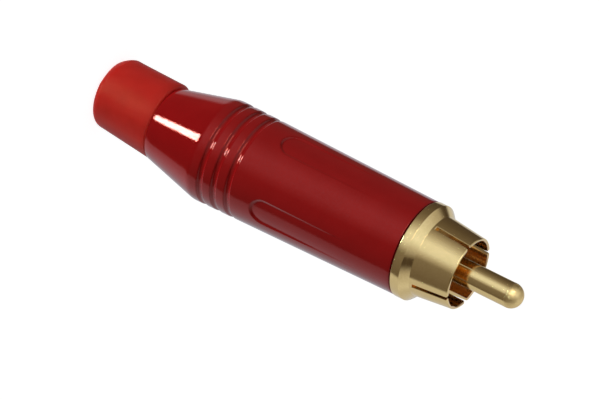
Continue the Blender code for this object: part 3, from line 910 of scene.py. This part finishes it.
white_plastic = turned_finish("turned acetal", (0.66, 0.65, 0.60), (0.74, 0.73, 0.68), 0.38, 0.0)
plated_steel = turned_finish(
    "plated spring steel", (0.50, 0.50, 0.49), (0.58, 0.58, 0.57), 0.28, 1.0
)
black_plastic = moulded_finish(
    "black nylon", (0.014, 0.014, 0.015), (0.022, 0.022, 0.023), 0.45, 0.08
)
grey_plastic = moulded_finish(
    "smoke grey tube", (0.27, 0.28, 0.29), (0.32, 0.33, 0.34), 0.30, 0.12
)
print("finishes:", [m.name for m in (white_plastic, plated_steel, black_plastic, grey_plastic)])

# %% [markdown]
# ## The shell
#
# The shell is one casting: a cone that opens from the boot, a rounded shoulder, three round
# grooves for the fingers and a barrel that tapers gently towards the flange. Its section is
# written down in millimetres and turned by the tree above.

# %% Shell section
SHELL_REAR = 8.80
SHELL_FRONT = 45.70
SHOULDER_Z = 16.60
SHOULDER_RADIUS = 6.72
SHOULDER_REACH = 0.45
FRONT_RADIUS = 6.18
REAR_RADIUS = 4.80
MOUTH_RADIUS = 3.85
MOUTH_LIP = SHELL_REAR + 0.4
THREAD_ROOT = 5.45
THREAD_FRONT = 45.0
GROOVE_MIDDLES = (18.26, 20.26, 22.26)
GROOVE_LIP = 0.30
GROOVE_FLOOR = 0.38
GROOVE_WALL = math.radians(55)
GROOVE_STEPS = 16
# The barrel's points stand close together where the flutes end.
BARREL_RUNS = ((23.3, 24.9, 0.4), (24.9, 28.6, 0.09), (28.6, 45.2, 0.45))


def barrel_radius(height):
    share = (height - SHOULDER_Z) / (SHELL_FRONT - SHOULDER_Z)
    return SHOULDER_RADIUS + (FRONT_RADIUS - SHOULDER_RADIUS) * share


def groove(middle):
    """A round groove between two well rounded lips. Its walls lean by the given angle."""
    half = (GROOVE_LIP + GROOVE_FLOOR) * math.sin(GROOVE_WALL)
    depth = (GROOVE_LIP + GROOVE_FLOOR) * (1 - math.cos(GROOVE_WALL))
    points = []
    for step in range(-GROOVE_STEPS, GROOVE_STEPS + 1):
        share = step / GROOVE_STEPS
        if abs(share) > 0.5:
            lean = GROOVE_WALL * (1 - abs(share)) * 2
            height = half - GROOVE_LIP * math.sin(lean)
            sunk = GROOVE_LIP * (1 - math.cos(lean))
        else:
            lean = GROOVE_WALL * abs(share) * 2
            height = GROOVE_FLOOR * math.sin(lean)
            sunk = depth - GROOVE_FLOOR * (1 - math.cos(lean))
        height = middle + math.copysign(height, share)
        points.append((barrel_radius(height) - sunk, height))
    return points


def shell_section():
    rear = rounded([
        (MOUTH_RADIUS, MOUTH_LIP), (MOUTH_RADIUS, SHELL_REAR),
        (REAR_RADIUS, SHELL_REAR), (REAR_RADIUS + 0.246, SHELL_REAR + 1.0),
    ], 0.04, 3, closed=False)
    corner = Vector((SHOULDER_RADIUS, SHOULDER_Z))
    ends = [Vector((REAR_RADIUS, SHELL_REAR)), Vector((FRONT_RADIUS, SHELL_FRONT))]
    start, end = [corner + (end - corner).normalized() * SHOULDER_REACH for end in ends]
    shoulder = bent(start, corner, end, steps=8)
    outside = rear[:-1] + line(rear[-1], shoulder[0], 0.5) + shoulder
    for middle in GROOVE_MIDDLES:
        outside += groove(middle)
    for low, high, spacing in BARREL_RUNS:
        last = (barrel_radius(high), high)
        outside += line((barrel_radius(low), low), last, spacing)
    front = rounded([
        last, (FRONT_RADIUS, SHELL_FRONT), (THREAD_ROOT, SHELL_FRONT), (THREAD_ROOT, THREAD_FRONT),
    ], 0.12, 3, closed=False)
    inside = rounded([
        (THREAD_ROOT, THREAD_FRONT), (THREAD_ROOT, 38.50), (5.05, 38.35), (5.05, 17.38),
        (4.35, 11.88), (4.35, 10.30), (MOUTH_RADIUS, 10.30), (MOUTH_RADIUS, MOUTH_LIP),
    ], 0.06, 2, closed=False)
    return outside + front + inside[1:-1]


section = shell_section()
print("shell section:", len(section), "points from", SHELL_REAR, "to", SHELL_FRONT, "mm")

# %% [markdown]
# ## The flutes
#
# Four shallow flutes run along the barrel from a round end. Their floor keeps one radius while
# the barrel tapers, so they fade out before the flange. Cutting them with a boolean works too,
# but a rule in Geometry Nodes gives soft, even edges: each point of the outside is pulled in to
# the lowest of the barrel and the flute's own wall, which rises at 45 degrees, with a smooth
# minimum for the rounded edge.

# %% The fluting tree
FLUTE_WIDTH = 3.85
FLUTE_DEPTH = 0.26
FLUTE_END = 25.60
# Added to a count of flutes so that it is never negative. Its fraction stays the same.
WHOLE_FLUTES = 16.0
FLUTE_SIZES = {
    "Flutes": 4.0,
    "Floor Radius": (barrel_radius(FLUTE_END) - FLUTE_DEPTH) * MM,
    "Floor Half Width": (FLUTE_WIDTH / 2 - FLUTE_DEPTH) * MM,
    "Round Middle": (FLUTE_END + FLUTE_WIDTH / 2) * MM,
    "Edge Round": 0.07 * MM,
    "Outside From": 5.6 * MM,
    "Rear Limit": 23.6 * MM,
    "Front Limit": 45.0 * MM,
}


def make_fluting_tree():
    tree, given = new_group("fluted_barrel", "GeometryNodeTree", {
        "Geometry": "Geometry", **FLUTE_SIZES, "Material": "Material",
    }, ["Geometry"])
    position = tree.nodes.new("GeometryNodeInputPosition").outputs[0]
    across, depth, height = add_node(tree, "ShaderNodeSeparateXYZ", Vector=position).outputs
    radius = from_axis(tree, across, depth)
    angle = calc(tree, "ARCTAN2", depth, across)
    turns = times(tree, calc(tree, "DIVIDE", angle, math.tau), given["Flutes"])
    in_flute = calc(tree, "FRACT", calc(tree, "ADD", turns, WHOLE_FLUTES))
    off_middle = times(tree, calc(tree, "SUBTRACT", in_flute, 0.5), math.tau)
    sideways = times(tree, calc(tree, "DIVIDE", off_middle, given["Flutes"]), radius)
    behind = calc(tree, "MINIMUM", calc(tree, "SUBTRACT", height, given["Round Middle"]), 0.0)
    behind_squared = times(tree, behind, behind)
    reach = calc(tree, "SQRT", calc(tree, "MULTIPLY_ADD", sideways, sideways, behind_squared))
    off_floor = calc(tree, "SUBTRACT", reach, given["Floor Half Width"])
    up_wall = calc(tree, "SMOOTH_MAX", off_floor, 0.0, given["Edge Round"])
    wall = calc(tree, "ADD", up_wall, given["Floor Radius"])
    new_radius = calc(tree, "SMOOTH_MIN", radius, wall, given["Edge Round"])
    share = calc(tree, "DIVIDE", new_radius, radius)
    moved = join(
        tree, "ShaderNodeCombineXYZ", times(tree, across, share), times(tree, depth, share), height
    )
    chosen = calc(tree, "GREATER_THAN", radius, given["Outside From"])
    for operation, limit in (("LESS_THAN", "Front Limit"), ("GREATER_THAN", "Rear Limit")):
        chosen = times(tree, chosen, calc(tree, operation, height, given[limit]))
    pulled = add_node(
        tree, "GeometryNodeSetPosition", Geometry=given["Geometry"], Position=moved,
        Selection=chosen,
    )
    dress(tree, pulled.outputs[0], given["Material"], "Geometry")
    return tree


fluting_tree = make_fluting_tree()
print("fluting tree:", len(fluting_tree.nodes), "nodes")

# %% Shell
shell = section_object("lacquered_shell", section, closed=True)
wear(shell, "turned", turning_tree, {"Steps": 360, "Turns": 1.0, "Material": red_lacquer})
wear(shell, "fluted", fluting_tree, {**FLUTE_SIZES, "Material": red_lacquer})
make_plain(shell, 40)
hand_over(shell, "shell", "red_lacquer", "shell")

# %% [markdown]
# ## The screw threads
#
# The ground body screws into the shell with a fine thread. A thread is a small tooth that winds
# round at one pitch, so the turning tree makes it from the tooth's section. The shell's thread
# points inwards and the shank's outwards, with air between them in every pose.

# %% Threads
PITCH = 0.75
THREAD_FADE = 0.35
THREAD_SINK = 0.05
STEPS_PER_TURN = 60


def thread(name, root, crest, low, high, material):
    """A tooth wound from one height to another; its root sinks a little into its wall."""
    sunk = root + math.copysign(THREAD_SINK, root - crest)
    half = ((sunk, 0.30), (root, 0.27), (crest, 0.06))
    tooth = [(radius, low - up) for radius, up in half]
    tooth += [(radius, low + up) for radius, up in reversed(half)]
    turns = (high - low) / PITCH
    return turned_piece(name, tooth, material, steps=round(turns * STEPS_PER_TURN), screw={
        "Turns": turns, "Pitch": PITCH * MM, "Fade": THREAD_FADE, "Core Radius": sunk * MM,
    })


shell_thread = thread("shell_thread", THREAD_ROOT, 5.20, 38.90, 45.15, red_lacquer)
hand_over(shell_thread, "shell", "red_lacquer")

# %% [markdown]
# ## The boot
#
# The boot is moulded in a soft compound. It narrows slightly to the rear, its rear edge is well
# rounded, and a neck with a collar behind the shell's lip holds it in place. Soft pieces are never
# quite straight: the rear end leans a little to one side, so each point is moved sideways by its
# distance behind the shell. The parts outside the shell's mouth are shifted a little further, and
# the rear edge is lifted on that side, which makes it rounder there.

# %% Boot
BOOT_FRONT = 8.78
BOOT_REAR_RADIUS = 4.70
BOOT_RING = 3.75
BOOT_EDGE = 0.95
BOOT_SIDE_SET = 0.55
BOOT_SHIFT = 0.27
BOOT_LIFT = 1.05
LIFT_BELOW = 2.5
SHIFT_BELOW = 5.5
SHIFT_OUTSIDE = 4.3


def boot_section():
    return (
        rounded([(3.20, 5.0), (3.20, 0.0), (BOOT_RING, 0.0)], 0.12, 3, closed=False)
        + arc((BOOT_REAR_RADIUS - BOOT_EDGE, BOOT_EDGE), BOOT_EDGE, -90, 0, 12)[1:]
        + line((4.703, 1.1), (4.995, 8.40), 0.8)[1:]
        + arc((5.00 - 0.30, BOOT_FRONT - 0.30), 0.30, 0, 90, 6)
        + rounded([
            (4.55, BOOT_FRONT), (3.70, BOOT_FRONT), (3.70, 10.38), (4.20, 10.38), (4.20, 11.58),
            (3.20, 11.58), (3.20, 8.0),
        ], 0.08, 2, closed=False)
    )


def set_boot(point):
    """Move one point of the straight boot, given in metres, to where the soft boot has it."""
    radius = point.xy.length
    behind = max(0.0, BOOT_FRONT * MM - point.z) / (BOOT_FRONT * MM)
    is_free = point.z < SHIFT_BELOW * MM or radius > SHIFT_OUTSIDE * MM
    outward = max(0.0, min(1.0, (radius / MM - BOOT_RING) / BOOT_EDGE))
    to_side = max(0.0, -point.x / MM / BOOT_REAR_RADIUS)
    to_rear = max(0.0, 1.0 - point.z / MM / LIFT_BELOW)
    point.z += BOOT_LIFT * MM * outward * to_side * to_rear
    point.x -= (BOOT_SIDE_SET * behind + BOOT_SHIFT * is_free) * MM


boot = turned_piece("soft_boot", boot_section(), soft_red, steps=160)
for vertex in boot.data.vertices:
    set_boot(vertex.co)
tidy_faces(boot, 40)
hand_over(boot, "shell", "red_boot", "rear_boot")

# %% [markdown]
# ## The ground body
#
# One piece of turned brass makes the threaded shank, the flange, the cone and the sleeve that
# grips the socket's collar. The sleeve tapers towards its rim, and four saw cuts split it so that
# it can spring. The cuts are taken out with an exact boolean, because they are straight-sided.
# Each cutter grows wider near the sleeve's outside, which breaks the slot's sharp edges.

# %% Ground body
FLANGE_RADIUS = 6.24
FLANGE_REAR = 45.80
FLANGE_TOP = 47.05
CONE_TOP = 48.00
SLEEVE_ROOT = 5.22
RIM_RADIUS = 4.66
RIM_Z = 53.10
CONTACT_RADIUS = 4.28
SLOT_WIDTH = 0.52
SLOT_LENGTH = 4.78
SLOT_BREAK = 0.06
SLOT_CORNER = 0.28
SLOT_FLARE = 0.5
SLOT_BEYOND = 1
SLOT_ANGLES = (47, 140, 232, 326)
# Each ring of the cutter: its distance from the axis or, if it follows the sleeve, from the
# sleeve's outside, and how much wider it is than the slot on each side.
SLOT_RINGS = (
    (2.9, False, 0.0), (-SLOT_BREAK, True, 0.0),
    (SLOT_FLARE - SLOT_BREAK, True, SLOT_FLARE), (8.0, False, SLOT_FLARE),
)


def ground_body_section():
    return rounded([
        (3.26, 43.00), (3.26, 39.20), (4.70, 39.20), (4.75, 39.25), (4.75, FLANGE_REAR),
        (FLANGE_RADIUS - 0.12, FLANGE_REAR), (FLANGE_RADIUS, FLANGE_REAR + 0.12),
        (FLANGE_RADIUS, FLANGE_TOP), (SLEEVE_ROOT, CONE_TOP), (RIM_RADIUS, RIM_Z - 0.10),
        (RIM_RADIUS - 0.10, RIM_Z), (CONTACT_RADIUS + 0.10, RIM_Z), (CONTACT_RADIUS, RIM_Z - 0.10),
        (CONTACT_RADIUS, 46.70), (2.86, 46.70), (2.86, 43.00),
    ], 0.05, 3)


def slot_cutter(angle):
    """A saw cut through one side, whose mouth flares so that the tines keep rounded corners."""
    half = SLOT_WIDTH / 2
    mouth = arc((0.0, RIM_Z - SLOT_CORNER), SLOT_CORNER, 0, 90, 6)
    side = [(half, RIM_Z - SLOT_LENGTH)]
    side += [(half + SLOT_CORNER - inward, z) for inward, z in mouth]
    side.append((half + SLOT_CORNER, RIM_Z + SLOT_BEYOND))
    outline = side + [(-y, z) for y, z in reversed(side)]
    shape = bmesh.new()
    rings = []
    for x, follows, wider in SLOT_RINGS:
        ring = []
        for y, z in outline:
            slope = (z - CONE_TOP) / (RIM_Z - CONE_TOP)
            surface = SLEEVE_ROOT + (RIM_RADIUS - SLEEVE_ROOT) * slope
            lower = wider if z < RIM_Z - SLOT_BEYOND else 0
            ring.append(shape.verts.new((
                (x + follows * surface) * MM, (y + math.copysign(wider, y)) * MM, (z - lower) * MM,
            )))
        rings.append(ring)
    shape.faces.new(rings[0])
    shape.faces.new(reversed(rings[-1]))
    for first, second in zip(rings, rings[1:]):
        for index in range(len(outline)):
            after = (index + 1) % len(outline)
            shape.faces.new((first[index], second[index], second[after], first[after]))
    bmesh.ops.recalc_face_normals(shape, faces=shape.faces)
    return loose_object("slot_cutter", shape, angle)


ground_body = turned_piece("gold_ground_body", ground_body_section(), gold_plate, steps=192)
cut_away(ground_body, *[slot_cutter(angle) for angle in SLOT_ANGLES])
hand_over(ground_body, "insert", "gold_plate", "ground_body")
shank_thread = thread("shank_thread", 4.75, 5.10, 39.60, 44.90, gold_plate)
hand_over(shank_thread, "insert", "gold_plate")

# %% [markdown]
# ## The centre pin
#
# The pin is turned from brass rod. Its tip is a half sphere, a collar traps it between the two
# insulators, and the cable's core is soldered into the cup at its rear, which is open on one side.

# %% Centre pin
PIN_RADIUS = 1.60
PIN_TIP = 60.72
PIN_REAR = 31.08


def pin_section():
    body = rounded([
        (0.0, PIN_REAR + 4.2), (1.10, PIN_REAR + 4.2), (1.10, PIN_REAR), (PIN_RADIUS, PIN_REAR),
        (PIN_RADIUS, 43.08), (2.25, 43.08), (2.25, 43.74), (PIN_RADIUS, 43.74), (PIN_RADIUS, 58.9),
    ], 0.05, 2, closed=False)
    return body + arc((0.0, PIN_TIP - PIN_RADIUS), PIN_RADIUS, 0, 90, 18)[:-1] + [(0.0, PIN_TIP)]


pin = turned_piece("gold_centre_pin", pin_section(), drawn_gold, steps=96, closed=False)
cut_away(pin, block((0, -3, 29), (3, 3, PIN_REAR + 3.2), 3.6))
hand_over(pin, "insert", "gold_plate", "centre_pin")

# %% [markdown]
# ## Insulators, washer and lug
#
# Two turned acetal insulators hold the pin on the axis and keep it off the ground body. A push-on
# steel washer locks them, and the lug, pressed from strip and rolled, carries the cable's screen
# to the ground body.

# %% Insulators, washer and lug
LUG_ARM_TOP = 38.77
LUG_TROUGH_TOP = 31.47


def small_piece(name, outline, edge, material, steps):
    """A plain turned piece from its outline and the radius of its edges."""
    return turned_piece(name, rounded(outline, edge, 2), material, steps=steps)


insulator = small_piece("acetal_front_insulator", [
    (2.33, 43.00), (2.78, 43.00), (2.78, 46.78), (4.16, 46.78), (4.16, 47.58),
    (1.68, 47.58), (1.68, 43.82), (2.33, 43.82),
], edge=0.08, material=white_plastic, steps=96)
hand_over(insulator, "insert", "white_plastic", "front_insulator")
insulator = small_piece("acetal_rear_insulator", [
    (1.68, 37.90), (3.63, 37.90), (3.63, 38.69), (3.18, 38.69), (3.18, 42.92), (1.68, 42.92),
], edge=0.08, material=white_plastic, steps=96)
hand_over(insulator, "insert", "white_plastic", "rear_insulator")
washer = small_piece("steel_washer", [
    (1.68, 37.40), (2.98, 37.40), (2.98, 37.82), (1.68, 37.82),
], edge=0.06, material=plated_steel, steps=72)
hand_over(washer, "insert", "plated_steel", "pin_washer")

lug = small_piece("gold_ground_lug", [
    (3.75, 24.97), (4.10, 24.97), (4.10, 39.12), (3.26, 39.12), (3.26, LUG_ARM_TOP),
    (3.75, LUG_ARM_TOP),
], edge=0.05, material=gold_plate, steps=96)
cut_away(
    lug, block((0, -9, 20), (9, 9, LUG_ARM_TOP)),
    block((-9, 1.6, LUG_TROUGH_TOP), (9, 9, LUG_ARM_TOP)),
    block((-9, -9, LUG_TROUGH_TOP), (9, -1.6, LUG_ARM_TOP)),
)
hand_over(lug, "insert", "gold_plate", "ground_lug")

# %% [markdown]
# ## Chuck and insulating sleeve
#
# Inside the shell, a nylon collet with toothed jaws is pushed against the inner cone and closes on
# the cable. A grey tube keeps the solder joints off the shell. Both are turned, and the chuck's
# slots are cut right across it.

# %% Chuck and insulating sleeve
CHUCK_REAR = 12.48
CHUCK_FRONT = 22.48
CHUCK_BORE = 3.45
TOOTH_CREST = 3.20
TOOTH_PITCH = 1.20
TOOTH_HALF = 0.25


def chuck_section():
    teeth = []
    for index in (2, 1, 0):
        middle = CHUCK_REAR + 0.70 + TOOTH_PITCH * index
        teeth += [
            (CHUCK_BORE, middle + TOOTH_HALF), (TOOTH_CREST, middle),
            (CHUCK_BORE, middle - TOOTH_HALF),
        ]
    outside = [(4.30, CHUCK_REAR), (4.93, 17.38), (4.93, CHUCK_FRONT - 0.15), (4.78, CHUCK_FRONT)]
    return [*outside, (CHUCK_BORE, CHUCK_FRONT), *teeth, (CHUCK_BORE, CHUCK_REAR)]


chuck = small_piece(
    "nylon_chuck", chuck_section(), edge=0.05, material=black_plastic, steps=120
)
cut_away(chuck, *[
    block((-9, -0.45, CHUCK_REAR - 5), (9, 0.45, CHUCK_FRONT - 4.0), 18 + 60 * turn)
    for turn in range(3)
])
hand_over(chuck, "chuck", "black_plastic", "cable_chuck")

tube = turned_piece("grey_insulating_sleeve", rounded([
    (4.33, 22.56), (4.93, 22.56), (4.93, 39.12), (4.33, 39.12),
], 0.12, 3), grey_plastic, steps=120)
hand_over(tube, "inner_sleeve", "grey_plastic", "insulating_sleeve")
